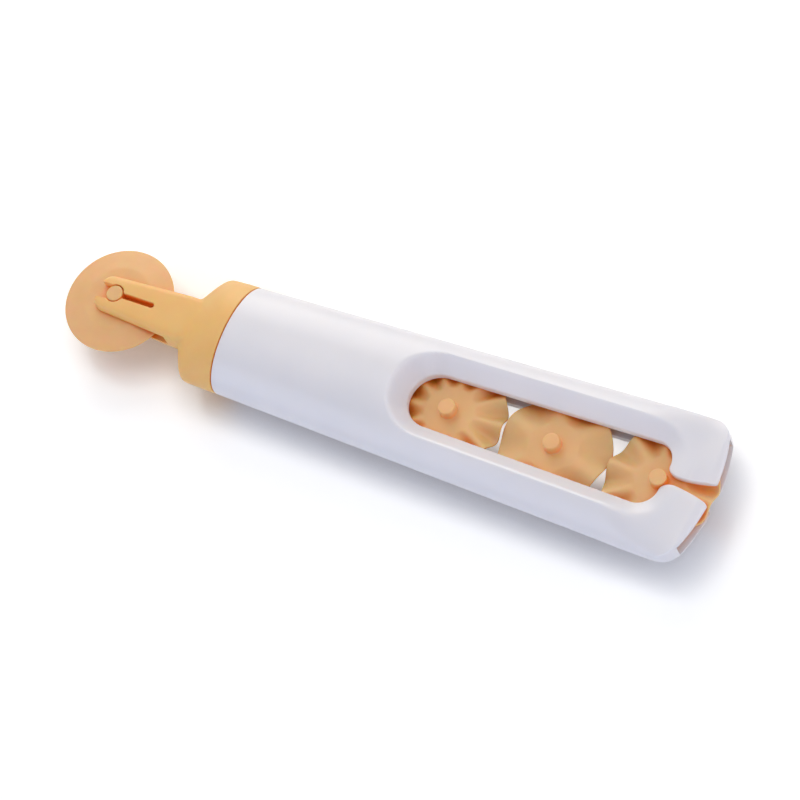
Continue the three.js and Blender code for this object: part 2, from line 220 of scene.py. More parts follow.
def handle_half_width(x):
    x = np.asarray(x, float)
    corner = corner_side + np.sqrt(np.maximum(TAIL_CORNER_RADIUS**2 - (x - corner_x) ** 2, 0))
    end = np.sqrt(np.maximum(TAIL_END_RADIUS**2 - (x - tail_centre) ** 2, 0))
    return np.where(x <= corner_x, handle_side(x), np.where(x <= corner_end, corner, end))


def handle_half_height(x):
    return mix(GRIP_HALF_HEIGHT, LIP_HALF_HEIGHT, ease(x, THINNING_START, THINNING_LENGTH))


def handle_power(x):
    return mix(GRIP_POWER, LIP_POWER, ease(x, THINNING_START, THINNING_LENGTH))


def tail_inset(x, y):
    """Distance from a place in the plan to the rounded outline of the tail."""
    along, beside = x - corner_x, np.abs(y) - corner_side
    in_corner = (along > 0) & (np.arctan2(beside, along) > corner_angle)
    from_corner = TAIL_CORNER_RADIUS - np.hypot(along, beside)
    return np.where(in_corner, from_corner, TAIL_END_RADIUS - np.hypot(x - tail_centre, y))


def handle_crown(x, y):
    """Height of the plain outer surface, with its round edge at the tail."""
    power = handle_power(x)
    side = np.clip(np.abs(y) / handle_side(x), 0, 1)
    crown = handle_half_height(x) * (1 - side**power) ** (1 / power)
    past = 1 - np.clip(tail_inset(x, y) / LIP_EDGE_RADIUS, 0, 1)
    edge = TRACK_HALF_HEIGHT + (LIP_HALF_HEIGHT - TRACK_HALF_HEIGHT) * np.sqrt(1 - past**2)
    return np.where((x > corner_x) & (past > 0), np.minimum(crown, edge), crown)


def arc(x, y, radius, start, end, steps):
    angle = np.radians(np.linspace(start, end, steps + 1))
    return np.column_stack([x + radius * np.cos(angle), y + radius * np.sin(angle)])


def bezier(points, steps):
    t = np.linspace(0, 1, steps + 1)[:, None]
    points = [np.array(p, float) for p in points]
    while len(points) > 1:
        points = [a * (1 - t) + b * t for a, b in zip(points, points[1:])]
    return points[0]


def both_sides(half):
    """A whole outline from its upper half."""
    below = half[np.abs(half[:, 1]) > 1e-6][::-1] * [1, -1]
    return np.vstack([half, below])


def even_out(outline, spacing):
    """The same line with points about as far apart as spacing."""
    line = [outline[0]]
    for a, b in zip(outline, outline[1:]):
        steps = max(int(np.ceil(np.linalg.norm(b - a) / spacing)), 1)
        line += [mix(a, b, (i + 1) / steps) for i in range(steps)]
    line = np.array(line)
    keep = np.r_[True, np.linalg.norm(np.diff(line, axis=0), axis=1) > 1e-6]
    return line[keep]


def window_half_width(x):
    share = (x - WINDOW_START) / (WINDOW_END - WINDOW_START)
    return mix(*WINDOW_HALF_WIDTHS, share)


round_radius = window_half_width(WINDOW_START + WINDOW_HALF_WIDTHS[0])
corner_start = WINDOW_END - WINDOW_CORNER
corner_y = window_half_width(corner_start) - WINDOW_CORNER
window_half = np.vstack(
    [
        arc(WINDOW_START + round_radius, 0, round_radius, 180, 90, 40),
        arc(corner_start, corner_y, WINDOW_CORNER, 90, 0, 30),
    ]
)
window_line = both_sides(even_out(window_half, FINE_STEP))


def outward(line):
    """Unit normals of a closed line that runs clockwise."""
    along = np.roll(line, -1, 0) - np.roll(line, 1, 0)
    along /= np.linalg.norm(along, axis=1)[:, None]
    return np.column_stack([-along[:, 1], along[:, 0]])


window_normal = outward(window_line)
window_middle = (WINDOW_START + WINDOW_END) / 2
endward = np.where(window_line[:, 0] < window_middle, np.maximum(-window_normal[:, 0], 0), 0)
dish_reach = mix(DISH_WIDTH, DISH_END_WIDTH, endward)
dish_edge = window_line + window_normal * dish_reach[:, None]
dish_top = np.maximum(handle_crown(dish_edge[:, 0], dish_edge[:, 1]), RIM_HEIGHT)


def handle_height(x, y):
    """Height of the outer surface with the dish, softly blended at its edge."""
    x, y = np.asarray(x, float), np.asarray(y, float)
    crown = handle_crown(x, y)
    out_of_reach = 1e3
    dish = np.full(x.shape, out_of_reach)
    near = (x > DISH_ZONE_START) & (np.abs(y) < DISH_ZONE_HALF_WIDTH)
    places = np.column_stack([x[near], y[near]])
    found = np.zeros(len(places), int)
    gap = np.zeros(len(places))
    batch = 4000
    for first in range(0, len(places), batch):
        part = places[first : first + batch]
        far = ((part[:, None, :] - window_line[None]) ** 2).sum(2)
        found[first : first + batch] = far.argmin(1)
        gap[first : first + batch] = np.sqrt(far.min(1))
    side = ((places - window_line[found]) * window_normal[found]).sum(1)
    gap = np.where(side > 0, np.maximum(gap, 0), 0)
    rise = (dish_top[found] - RIM_HEIGHT) / dish_reach[found]
    dish[near] = RIM_HEIGHT + gap * rise
    blend = np.clip(0.5 + 0.5 * (dish - crown) / DISH_BLEND, 0, 1)
    dished = mix(dish, crown, blend) - DISH_BLEND * blend * (1 - blend)
    return np.where(dish < out_of_reach, dished, crown)


handle_count = 192
front = SEAM_X + SEAM_GAP / 2
edge_angles = np.radians(np.linspace(0, 90, 5))
socket_half = (SEAM_HALF_WIDTH - SOCKET_WALL, GRIP_HALF_HEIGHT - SOCKET_WALL)
rings = [
    section(SOCKET_END, *socket_half, GRIP_POWER, handle_count),
    section(front + SOCKET_MOUTH, *socket_half, GRIP_POWER, handle_count),
]
for angle in edge_angles:
    inset = SEAM_ROUND * (1 - math.sin(angle))
    ring_x = front + SEAM_ROUND * (1 - math.cos(angle))
    oval_half = (SEAM_HALF_WIDTH - inset, GRIP_HALF_HEIGHT - inset)
    rings.append(section(ring_x, *oval_half, GRIP_POWER, handle_count))
stations = np.concatenate(
    [
        np.linspace(front + 4 * SEAM_ROUND, WINDOW_START - DISH_MARGIN, 24),
        np.arange(WINDOW_START - DISH_MARGIN + FINE_STEP, corner_x, FINE_STEP),
        corner_x + TAIL_CORNER_RADIUS * np.cos(np.linspace(np.pi / 2, corner_angle, 40)),
        tail_centre + TAIL_END_RADIUS * np.cos(np.linspace(corner_angle, 0, 44))[1:-1],
    ]
)
for x in stations:
    power = mix(float(handle_power(x)), TAIL_POWER, float(ease(x, corner_x, TAIL_SQUARING)))
    ring = section(x, handle_half_width(x), handle_half_height(x), power, handle_count)
    top = handle_height(ring[:, 0], ring[:, 1])
    ring[:, 2] = np.sign(ring[:, 2]) * np.minimum(np.abs(ring[:, 2]), np.maximum(top, 0))
    rings.append(ring)
handle_mesh = mesh_of_rings("handle_body", rings)

# The cut through both faces follows the window, the neck and the flared
# lips, and its profile leaves a small round on the rim of each face.
lip_start = window_half[-1]
neck = (NECK_X, NECK_HALF_WIDTH)
lip_bend = (WINDOW_END, mix(lip_start[1], NECK_HALF_WIDTH, 1 - CURVE_SHARE))
neck_bend = (mix(WINDOW_END, NECK_X, CURVE_SHARE), NECK_HALF_WIDTH)
neck_line = bezier([lip_start, lip_bend, neck_bend, neck], 24)
flare_bend = (mix(NECK_X, TAIL_X, CURVE_SHARE), NECK_HALF_WIDTH)
flare_end = (TAIL_X, FLARE_HALF_WIDTH)
flare_line = bezier([neck, flare_bend, flare_end], 24)
flare_line = flare_line[flare_line[:, 0] < TAIL_X - LIP_CORNER]
flare_side = FLARE_HALF_WIDTH + LIP_CORNER
corner_line = bezier([flare_line[-1], flare_end, (TAIL_X, flare_side)], 10)
past_line = [[TAIL_X + CUT_OVERRUN, flare_side]]
opening_half = np.vstack([window_half, neck_line, flare_line, corner_line, past_line])
opening = both_sides(even_out(opening_half, OPENING_STEP))


def through_cutter(name, line, normal, surface, round_size, reach):
    """A cutter through both faces whose profile rounds the rim by round_size."""
    rim = surface(line[:, 0], line[:, 1])
    beyond = line + normal * FINE_STEP
    slope = np.arctan2(surface(beyond[:, 0], beyond[:, 1]) - rim, FINE_STEP)
    centre = rim + round_size * np.tan(slope) - round_size / np.cos(slope)
    upper = []
    for share in np.linspace(0, 1, 7):
        angle = mix(np.pi, np.pi / 2 + slope, share)
        offset = round_size * (1 + np.cos(angle))
        place = line + normal * offset[:, None]
        upper.append(np.column_stack([place, centre + round_size * np.sin(angle)]))
    leave = slope + np.radians(22)
    clear = 0.3
    place = line + normal * (offset + clear * np.cos(leave))[:, None]
    upper.append(np.column_stack([place, upper[-1][:, 2] + clear * np.sin(leave)]))
    upper.append(np.column_stack([place, np.full(len(line), reach)]))
    lower = [ring * [1, 1, -1] for ring in upper[::-1]]
    return mesh_of_rings(name, lower + upper)


def flat_cutter(name, line, bottom, top):
    """A straight cutter from an outline."""
    rings = [np.column_stack([line, np.full(len(line), z)]) for z in (bottom, top)]
    return mesh_of_rings(name, rings)


def rim_surface(x, y):
    """The outer surface that the cut follows, level where the lips round off."""
    return handle_height(np.minimum(x, TAIL_X - LIP_EDGE_RADIUS), y)


track_half = np.vstack(
    [
        arc(TRACK_ROUND_X, 0, TRACK_HALF_WIDTH, 180, 90, 60),
        [[TAIL_X + CUT_OVERRUN, TRACK_HALF_WIDTH]],
    ]
)
handle_mesh = cut(
    handle_mesh,
    flat_cutter("track", both_sides(track_half), -TRACK_HALF_HEIGHT, TRACK_HALF_HEIGHT),
    through_cutter("opening", opening, outward(opening), rim_surface, RIM_ROUND, OPENING_REACH),
)
handle_mesh.transform(PLACE)

# White ABS from a polished mould: an even, slightly cool white with a soft
# sheen, very faint flow clouding and a slight ripple that only highlights show.
# Narrow hollows are painted a warm orange, a painted light that stands in for the orange light the
# wheels throw into the track.
FIRST_COLOUR, SECOND_COLOUR, MIXED_COLOUR = 6, 7, 2
white_abs = bpy.data.materials.new("white_moulded_abs")
white_abs.use_nodes = True
tree = white_abs.node_tree
shader = tree.nodes["Principled BSDF"]
where = add_node(tree, "ShaderNodeTexCoord").outputs["Object"]
clouds = add_node(
    tree, "ShaderNodeTexNoise", inputs={"Vector": where, "Scale": 1 / (18 * MM), "Detail": 2.0}
)
tint = add_node(tree, "ShaderNodeValToRGB", inputs={"Fac": clouds.outputs["Fac"]})
tint.color_ramp.elements[0].position, tint.color_ramp.elements[1].position = 0.3, 0.7
tint.color_ramp.elements[0].color = linear("#eae8ed")
tint.color_ramp.elements[1].color = linear("#eeebef")
around = add_node(tree, "ShaderNodeAmbientOcclusion", {"samples": 8}, {"Distance": 6 * MM})
openness = add_node(
    tree, "ShaderNodeMapRange", inputs={"Value": around.outputs["AO"], "From Min": 0.1, "From Max": 0.45}
)
# Painted light: where ambient occlusion finds a narrow hollow, the base colour turns warm orange for
# light bounced from the wheels.
painted_hollow_light = add_node(tree, "ShaderNodeMix", {"data_type": "RGBA"}, {"Factor": openness.outputs["Result"]})
painted_hollow_light.inputs[FIRST_COLOUR].default_value = linear("#f8c890")
tree.links.new(tint.outputs["Color"], painted_hollow_light.inputs[SECOND_COLOUR])
tree.links.new(painted_hollow_light.outputs[MIXED_COLOUR], shader.inputs["Base Color"])
ripple = add_node(
    tree, "ShaderNodeTexNoise", inputs={"Vector": where, "Scale": 1 / (2.5 * MM), "Detail": 2.0}
).outputs["Fac"]
bump = add_node(
    tree, "ShaderNodeBump", inputs={"Height": ripple, "Strength": 0.02, "Distance": 0.05 * MM}
)
tree.links.new(bump.outputs["Normal"], shader.inputs["Normal"])
haze = add_node(tree, "ShaderNodeMapRange", inputs={"Value": ripple, "To Min": 0.28, "To Max": 0.32})
tree.links.new(haze.outputs["Result"], shader.inputs["Roughness"])
shader.inputs["IOR"].default_value = 1.53
shader.inputs["Subsurface Weight"].default_value = 0.6
shader.inputs["Subsurface Radius"].default_value = (1.0, 0.9, 0.8)
shader.inputs["Subsurface Scale"].default_value = 2.5 * MM
add_piece("handle_moulding", handle_mesh, white_abs, "handle", "handle_with_fork")

# Fork and collar: one moulding in honey coloured nylon. Two flat arms carry
# the wheel in open seats, relief slots let them spring, and the shoulder
# swells to the oval of the handle, where a tenon holds it in the socket.

ARM_TIP = 5.5
ARM_TIP_HALF_WIDTH = 5.35
ARM_TIP_LENGTH = 3.2
ARM_TIP_INSET = 2.5
ARM_TIP_THINNING = 0.8
ARM_HALF_WIDTH = 7.15
ARM_FACE = 5.0
ARM_INNER = 2.2
ARM_POWER = 6
FORK_DEPTH = 19.4
SEAT_RADIUS = 2.8
SEAT_THROAT = 2.2
SEAT_MOUTH = 2.6
SEAT_ROUND = 0.3
SEAT_LEAD = 6
SEAT_REACH = 8.0
RELIEF_HALF_WIDTH = 0.8
RELIEF_END = 13.3
SHOULDER_START = 22.0
SHOULDER_SIDE = 9.4
SHOULDER_FACE = 16.0
SHOULDER_BEND = 1.2
SHOULDER_FILLET = 1.2
ROUNDING_LENGTH = 4.0
COLLAR_HALF_WIDTH = 16.75
COLLAR_LEAD = 7
COLLAR_BLEND = 6
TENON_CLEARANCE = 0.3
TENON_CHAMFER = 1.2
TENON_END = 76.4


def arm_half_width(x):
    return mix(ARM_TIP_HALF_WIDTH, ARM_HALF_WIDTH, (x + ARM_TIP) / (SHOULDER_START + ARM_TIP))


def shoulder_ring(x, count):
    """Whichever reaches further, the arms' flat plate or the collar's oval, softly joined."""
    share = 1 - (1 - np.clip((x - SHOULDER_START) / SHOULDER_SIDE, 0, 1)) ** SHOULDER_BEND
    wide = mix(ARM_HALF_WIDTH - SHOULDER_FILLET, COLLAR_HALF_WIDTH, ease(share, 0, 1))
    wide = mix(wide, SEAM_HALF_WIDTH, ease(x, SEAM_X - COLLAR_LEAD, COLLAR_BLEND))
    high = mix(ARM_FACE - SHOULDER_FILLET, GRIP_HALF_HEIGHT, ease(x, SHOULDER_START, SHOULDER_FACE))
    power = mix(ARM_POWER, GRIP_POWER, ease(x, SHOULDER_START, ROUNDING_LENGTH))
    ring = section(x, max(wide, ARM_HALF_WIDTH), max(high, ARM_FACE), power, count)
    radius = np.hypot(ring[:, 1], ring[:, 2])
    across, upward = np.abs(ring[:, 1]) / radius, np.abs(ring[:, 2]) / radius
    plate = ((across / ARM_HALF_WIDTH) ** ARM_POWER + (upward / ARM_FACE) ** ARM_POWER) ** (
        -1 / ARM_POWER
    )
    oval = 1 / np.hypot(across / wide, upward / high)
    lead = np.clip(0.5 + 0.5 * (oval - plate) / SHOULDER_FILLET, 0, 1)
    reach = mix(plate, oval, lead) + SHOULDER_FILLET * lead * (1 - lead)
    ring[:, 1:] *= (reach / radius)[:, None]
    return ring


fork_count = 128
rings = []
for angle in np.radians(np.linspace(0, 90, 14)):
    x = -ARM_TIP + ARM_TIP_LENGTH * (1 - math.cos(angle))
    width = arm_half_width(x) - ARM_TIP_INSET * (1 - math.sin(angle))
    face = ARM_FACE - ARM_TIP_THINNING * (1 - math.sin(angle))
    rings.append(section(x, width, face, ARM_POWER, fork_count))
for x in np.linspace(-2, SHOULDER_START - FINE_STEP, 26):
    rings.append(section(x, arm_half_width(x), ARM_FACE, ARM_POWER, fork_count))
for x in np.linspace(SHOULDER_START, SEAM_X - 1, 64):
    rings.append(shoulder_ring(x, fork_count))
collar_end = SEAM_X - SEAM_GAP / 2
for angle in edge_angles[::-1]:
    inset = SEAM_ROUND * (1 - math.sin(angle))
    ring_x = collar_end - SEAM_ROUND * (1 - math.cos(angle))
    oval_half = (SEAM_HALF_WIDTH - inset, GRIP_HALF_HEIGHT - inset)
    rings.append(section(ring_x, *oval_half, GRIP_POWER, fork_count))
tenon_half = [half - TENON_CLEARANCE for half in socket_half]
tenon_end_half = [half - TENON_CHAMFER for half in tenon_half]
rings.append(section(collar_end, *tenon_half, GRIP_POWER, fork_count))
rings.append(section(TENON_END - TENON_CHAMFER, *tenon_half, GRIP_POWER, fork_count))
rings.append(section(TENON_END, *tenon_end_half, GRIP_POWER, fork_count))
fork_mesh = mesh_of_rings("fork_body", rings)

throat_angle = math.degrees(math.asin(SEAT_THROAT / SEAT_RADIUS))
relief_angle = math.degrees(math.asin(RELIEF_HALF_WIDTH / SEAT_RADIUS))
seat_half = np.vstack(
    [
        [[-ARM_TIP - SEAT_LEAD, SEAT_MOUTH]],
        [[-ARM_TIP, SEAT_MOUTH]],
        arc(0, 0, SEAT_RADIUS, 180 - throat_angle, relief_angle, 32),
        arc(RELIEF_END - RELIEF_HALF_WIDTH, 0, RELIEF_HALF_WIDTH, 90, 0, 12),
    ]
)
seat_line = both_sides(even_out(seat_half, FINE_STEP))


def arm_surface(x, y):
    """The arms' flat face."""
    return np.full(np.shape(x), ARM_FACE)


ahead, beside = -20, 30
gap_line = [[ahead, beside], [FORK_DEPTH, beside], [FORK_DEPTH, -beside], [ahead, -beside]]
gap_line = np.array(gap_line, float)
fork_mesh = cut(
    fork_mesh,
    flat_cutter("wheel_gap", gap_line, -ARM_INNER, ARM_INNER),
    through_cutter("seat", seat_line, outward(seat_line), arm_surface, SEAT_ROUND, SEAT_REACH),
)
fork_mesh.transform(PLACE)

# Dyed nylon, moulded: warm honey orange that lets a little light in, satin
# from a fine mould texture, with faint flow clouding. The texture is drawn half
# a millimetre coarse, so that it shows. In slots and hollows the base colour is
# painted a deeper orange, a painted shade and glow for the light that comes through the nylon.
honey_nylon = bpy.data.materials.new("honey_moulded_nylon")
honey_nylon.use_nodes = True
tree = honey_nylon.node_tree
shader = tree.nodes["Principled BSDF"]
where = add_node(tree, "ShaderNodeTexCoord").outputs["Object"]
clouds = add_node(
    tree, "ShaderNodeTexNoise", inputs={"Vector": where, "Scale": 1 / (12 * MM), "Detail": 3.0}
)
tint = add_node(tree, "ShaderNodeValToRGB", inputs={"Fac": clouds.outputs["Fac"]})
tint.color_ramp.elements[0].position, tint.color_ramp.elements[1].position = 0.3, 0.7
tint.color_ramp.elements[0].color = linear("#f2bd6e")
tint.color_ramp.elements[1].color = linear("#f4c275")
around = add_node(tree, "ShaderNodeAmbientOcclusion", {"samples": 8}, {"Distance": 4 * MM})
openness = add_node(
    tree,
    "ShaderNodeMapRange",
    inputs={"Value": around.outputs["AO"], "From Min": 0.25, "From Max": 0.75},
)
# Painted shade and glow: in occluded slots and hollows the base colour turns deep orange.
painted_hollow_light = add_node(tree, "ShaderNodeMix", {"data_type": "RGBA"}, {"Factor": openness.outputs["Result"]})
painted_hollow_light.inputs[FIRST_COLOUR].default_value = linear("#fb9020")
tree.links.new(tint.outputs["Color"], painted_hollow_light.inputs[SECOND_COLOUR])
tree.links.new(painted_hollow_light.outputs[MIXED_COLOUR], shader.inputs["Base Color"])
texture = add_node(
    tree, "ShaderNodeTexNoise", inputs={"Vector": where, "Scale": 1 / (0.5 * MM), "Detail": 2.0}
).outputs["Fac"]
bump = add_node(
    tree, "ShaderNodeBump", inputs={"Height": texture, "Strength": 0.08, "Distance": 0.05 * MM}
)
tree.links.new(bump.outputs["Normal"], shader.inputs["Normal"])
haze = add_node(tree, "ShaderNodeMapRange", inputs={"Value": texture, "To Min": 0.42, "To Max": 0.52})
tree.links.new(haze.outputs["Result"], shader.inputs["Roughness"])
shader.inputs["IOR"].default_value = 1.53
shader.inputs["Subsurface Weight"].default_value = 0.6
shader.inputs["Subsurface Radius"].default_value = (1.0, 0.25, 0.06)
shader.inputs["Subsurface Scale"].default_value = 1.6 * MM
add_piece("fork_moulding", fork_mesh, honey_nylon, "fork_collar", "handle_with_fork")

# Wheels: four mouldings in sand coloured nylon, each a disc and its two stub
# axles in one. One is plain and bevelled and turns in the fork. The other
# three are fluted, with fine, coarse and medium waves, and lie in the track.

WHEEL_RADIUS = 16.4
HUB_HALF_THICKNESS = 1.8
AXLE_RADIUS = 2.5
AXLE_HALF_LENGTH = 5.0
AXLE_CHAMFER = 0.45
AXLE_FILLET = 0.4
PLAIN_FLAT_RADIUS = 9.8
PLAIN_EDGE_HALF = 0.25
PLAIN_EDGE_ROUND = 0.2
FLUTE_START = 7.4
FLUTE_EDGE_HALF = 0.4
FLUTE_EDGE_ROUND = 0.3
FLUTE_GROWTH = 1.7
BLADE_BEND = 0.6
SWEEP_RADIUS = 1.0


def half_profile(flat_radius, edge_half, edge_round, growth):
    """The upper half of a wheel's section, from the axle's end to the rim."""
    rest = AXLE_RADIUS + AXLE_FILLET
    end = AXLE_HALF_LENGTH - AXLE_CHAMFER
    fillet = arc(rest, HUB_HALF_THICKNESS + AXLE_FILLET, AXLE_FILLET, 180, 270, 5)
    blade_radius = np.linspace(flat_radius + BLADE_BEND, WHEEL_RADIUS - edge_round, 16)
    left = ((WHEEL_RADIUS - blade_radius) / (WHEEL_RADIUS - flat_radius)) ** growth
    blade = np.column_stack([blade_radius, mix(edge_half, HUB_HALF_THICKNESS, left)])
    bend_start = (flat_radius - BLADE_BEND, HUB_HALF_THICKNESS)
    bend = [bend_start, (flat_radius, HUB_HALF_THICKNESS), blade[0]]
    tip = arc(WHEEL_RADIUS - edge_round, edge_half - edge_round, edge_round, 78, 0, 4)
    cap_radius = AXLE_RADIUS - AXLE_CHAMFER
    line = np.vstack(
        [
            [[0, AXLE_HALF_LENGTH], [cap_radius - FINE_STEP, AXLE_HALF_LENGTH]],
            arc(cap_radius, end, AXLE_CHAMFER, 90, 0, 5),
            fillet,
            bezier(bend, 5)[:-1],
            blade[:-1],
            tip,
        ]
    )
    return even_out(line, 0.8)


def profile_object(name, flat_radius, edge_half, edge_round, growth):
    """The whole section as a line of edges, from one axle's end to the other."""
    upper = half_profile(flat_radius, edge_half, edge_round, growth)
    line = np.vstack([upper, upper[::-1] * [1, -1]]) * MM
    mesh = bpy.data.meshes.new(name)
    points = np.column_stack([line[:, 0], line[:, 1], np.zeros(len(line))])
    mesh.from_pydata(points.tolist(), [[i, i + 1] for i in range(len(line) - 1)], [])
    made = bpy.data.objects.new(name, mesh)
    bpy.context.scene.collection.objects.link(made)
    return made


wheel_tree = bpy.data.node_groups.new("moulded_wheel", "GeometryNodeTree")
wheel_tree.interface.new_socket("Geometry", in_out="INPUT", socket_type="NodeSocketGeometry")
for label, kind in [
    ("Steps round", "NodeSocketInt"),
    ("Waves", "NodeSocketFloat"),
    ("Wave shift", "NodeSocketFloat"),
    ("Wave height", "NodeSocketFloat"),
    ("Flute start", "NodeSocketFloat"),
    ("Flute growth", "NodeSocketFloat"),
    ("Rim radius", "NodeSocketFloat"),
    ("Material", "NodeSocketMaterial"),
]:
    wheel_tree.interface.new_socket(label, in_out="INPUT", socket_type=kind)
wheel_tree.interface.new_socket("Geometry", in_out="OUTPUT", socket_type="NodeSocketGeometry")
given = wheel_tree.nodes.new("NodeGroupInput").outputs

# The section is swept round a wide circle, brought in to its true radius, and
# then each point rises and falls with its angle by a height that grows from
# the start of the flutes to the rim.
section_line = add_node(wheel_tree, "GeometryNodeMeshToCurve", inputs={"Mesh": given["Geometry"]})
circle = add_node(
    wheel_tree,
    "GeometryNodeCurvePrimitiveCircle",
    inputs={"Resolution": given["Steps round"], "Radius": SWEEP_RADIUS},
)
swept = add_node(
    wheel_tree,
    "GeometryNodeCurveToMesh",
    inputs={"Curve": circle.outputs["Curve"], "Profile Curve": section_line.outputs["Curve"]},
)
place = add_node(wheel_tree, "GeometryNodeInputPosition").outputs["Position"]
flat = add_node(
    wheel_tree, "ShaderNodeVectorMath", {"operation": "MULTIPLY"}, {0: place, 1: (1, 1, 0)}
).outputs[0]
far = add_node(wheel_tree, "ShaderNodeVectorMath", {"operation": "LENGTH"}, {0: flat}).outputs["Value"]
inner = add_node(
    wheel_tree, "ShaderNodeMath", {"operation": "SUBTRACT"}, {0: far, 1: SWEEP_RADIUS}
).outputs[0]
radius = add_node(wheel_tree, "ShaderNodeMath", {"operation": "ABSOLUTE"}, {0: inner}).outputs[0]
direction = add_node(
    wheel_tree, "ShaderNodeVectorMath", {"operation": "NORMALIZE"}, {0: flat}
).outputs[0]
spread = add_node(
    wheel_tree, "ShaderNodeVectorMath", {"operation": "SCALE"}, {0: direction, "Scale": radius}
).outputs[0]
parts = add_node(wheel_tree, "ShaderNodeSeparateXYZ", inputs={"Vector": place}).outputs
turn = add_node(
    wheel_tree, "ShaderNodeMath", {"operation": "ARCTAN2"}, {0: parts["Y"], 1: parts["X"]}
).outputs[0]
angle = add_node(
    wheel_tree,
    "ShaderNodeMath",
    {"operation": "MULTIPLY_ADD"},
    {0: turn, 1: given["Waves"], 2: given["Wave shift"]},
).outputs[0]
wave = add_node(wheel_tree, "ShaderNodeMath", {"operation": "COSINE"}, {0: angle}).outputs[0]
still_left = add_node(
    wheel_tree,
    "ShaderNodeMapRange",
    inputs={
        "Value": radius,
        "From Min": given["Flute start"],
        "From Max": given["Rim radius"],
        "To Min": 1.0,
        "To Max": 0.0,
    },
).outputs["Result"]
thick_part = add_node(
    wheel_tree, "ShaderNodeMath", {"operation": "POWER"}, {0: still_left, 1: given["Flute growth"]}
).outputs[0]
grown = add_node(
    wheel_tree, "ShaderNodeMath", {"operation": "SUBTRACT"}, {0: 1.0, 1: thick_part}
).outputs[0]
height = add_node(
    wheel_tree, "ShaderNodeMath", {"operation": "MULTIPLY"}, {0: grown, 1: given["Wave height"]}
).outputs[0]
lift = add_node(
    wheel_tree, "ShaderNodeMath", {"operation": "MULTIPLY_ADD"}, {0: wave, 1: height, 2: parts["Z"]}
).outputs[0]
upward = add_node(wheel_tree, "ShaderNodeCombineXYZ", inputs={"Z": lift}).outputs["Vector"]
moved = add_node(
    wheel_tree, "ShaderNodeVectorMath", {"operation": "ADD"}, {0: spread, 1: upward}
).outputs[0]
shaped = add_node(
    wheel_tree, "GeometryNodeSetPosition", inputs={"Geometry": swept.outputs["Mesh"], "Position": moved}
)
welded = add_node(
    wheel_tree,
    "GeometryNodeMergeByDistance",
    inputs={"Geometry": shaped.outputs["Geometry"], "Distance": 0.002 * MM},
)
real = add_node(
    wheel_tree, "GeometryNodeRealizeInstances", inputs={"Geometry": welded.outputs["Geometry"]}
)
painted = add_node(
    wheel_tree,
    "GeometryNodeSetMaterial",
    inputs={"Geometry": real.outputs["Geometry"], "Material": given["Material"]},
)
add_node(wheel_tree, "NodeGroupOutput", inputs={"Geometry": painted.outputs["Geometry"]})

# Nylon again, dyed paler: a sand orange that glows where it is thin, satin,
# with the same mould texture. In the hollows of the flutes the base colour is
# painted a deep orange, a painted shade and glow.
sand_nylon = bpy.data.materials.new("sand_moulded_nylon")
sand_nylon.use_nodes = True
tree = sand_nylon.node_tree
shader = tree.nodes["Principled BSDF"]
where = add_node(tree, "ShaderNodeTexCoord").outputs["Object"]
clouds = add_node(
    tree, "ShaderNodeTexNoise", inputs={"Vector": where, "Scale": 1 / (9 * MM), "Detail": 3.0}
)
tint = add_node(tree, "ShaderNodeValToRGB", inputs={"Fac": clouds.outputs["Fac"]})
tint.color_ramp.elements[0].position, tint.color_ramp.elements[1].position = 0.3, 0.7
tint.color_ramp.elements[0].color = linear("#ebba7d")
tint.color_ramp.elements[1].color = linear("#efc085")
around = add_node(tree, "ShaderNodeAmbientOcclusion", {"samples": 8}, {"Distance": 5 * MM})
openness = add_node(
    tree, "ShaderNodeMapRange", inputs={"Value": around.outputs["AO"], "From Min": 0.3, "From Max": 0.8}
)
# Painted shade and glow: in occluded hollows of the flutes the base colour turns deep orange.
painted_hollow_light = add_node(tree, "ShaderNodeMix", {"data_type": "RGBA"}, {"Factor": openness.outputs["Result"]})
painted_hollow_light.inputs[FIRST_COLOUR].default_value = linear("#fd8a1e")
tree.links.new(tint.outputs["Color"], painted_hollow_light.inputs[SECOND_COLOUR])
tree.links.new(painted_hollow_light.outputs[MIXED_COLOUR], shader.inputs["Base Color"])
texture = add_node(
    tree, "ShaderNodeTexNoise", inputs={"Vector": where, "Scale": 1 / (0.5 * MM), "Detail": 2.0}
).outputs["Fac"]
bump = add_node(
    tree, "ShaderNodeBump", inputs={"Height": texture, "Strength": 0.08, "Distance": 0.05 * MM}
)
tree.links.new(bump.outputs["Normal"], shader.inputs["Normal"])
haze = add_node(tree, "ShaderNodeMapRange", inputs={"Value": texture, "To Min": 0.45, "To Max": 0.55})
tree.links.new(haze.outputs["Result"], shader.inputs["Roughness"])
shader.inputs["IOR"].default_value = 1.53
shader.inputs["Subsurface Weight"].default_value = 0.8
shader.inputs["Subsurface Radius"].default_value = (1.0, 0.25, 0.07)
shader.inputs["Subsurface Scale"].default_value = 3.0 * MM

